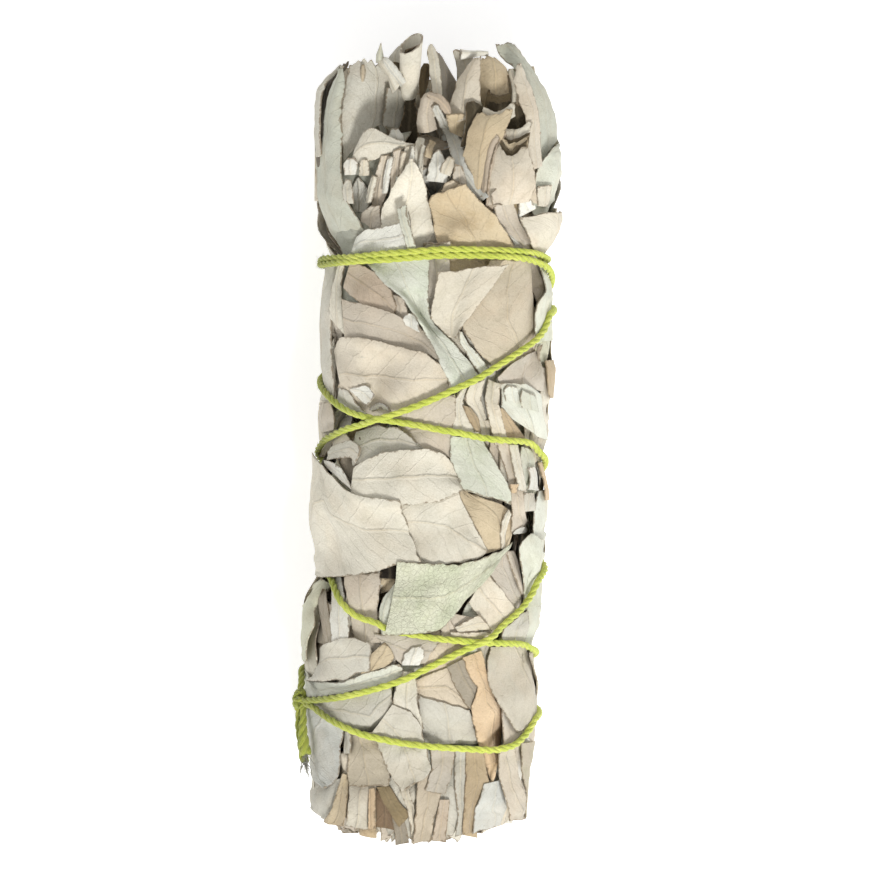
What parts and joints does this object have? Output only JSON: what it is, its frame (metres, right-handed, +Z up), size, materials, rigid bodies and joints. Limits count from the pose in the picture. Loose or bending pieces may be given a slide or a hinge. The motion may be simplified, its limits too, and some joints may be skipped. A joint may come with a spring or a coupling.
{
  "type": "sage bunch",
  "caption": "Bunch of dried white sage, its leafy stems packed into a stick, cut flat at the foot and bound round and round with green cotton twine.",
  "frame": {"origin": "centre of the bounding box in x and y, at the surface that the bunch lies on", "axes": "+Y along the bunch towards the leaf tips, -Y towards the cut ends, +X to its right and +Z up from the surface"},
  "size_m": [0.0341, 0.1004, 0.0313],
  "materials": {
    "leaf_cream": "matte",
    "leaf_beige": "matte",
    "leaf_pale_green": "matte",
    "leaf_grey_green": "matte",
    "leaf_tan": "matte",
    "twine": "matte"
  },
  "bodies": {
    "root": {"leafy_stem_1": "leaf_beige", "leafy_stem_2": "leaf_cream", "leafy_stem_3": "leaf_beige", "leafy_stem_4": "leaf_grey_green", "leafy_stem_5": "leaf_grey_green", "leafy_stem_6": "leaf_cream", "leafy_stem_7": "leaf_beige", "tan_leaf": "leaf_tan", "cross_leaf": "leaf_pale_green", "cream_leaf": "leaf_cream", "long_green": "leaf_pale_green", "flap": "leaf_cream", "big_right": "leaf_cream", "cream_big": "leaf_cream", "green_fold_leaf": "leaf_pale_green", "under_strip": "leaf_cream", "grey_leaf": "leaf_cream", "orange_stem": "leaf_tan", "right_slab": "leaf_beige", "tie_wedge": "leaf_cream", "light_tip": "leaf_cream", "left_fold": "leaf_beige", "big_left": "leaf_cream", "green_leaf": "leaf_grey_green", "binding_twine": "twine"}
  },
  "joints": []
}
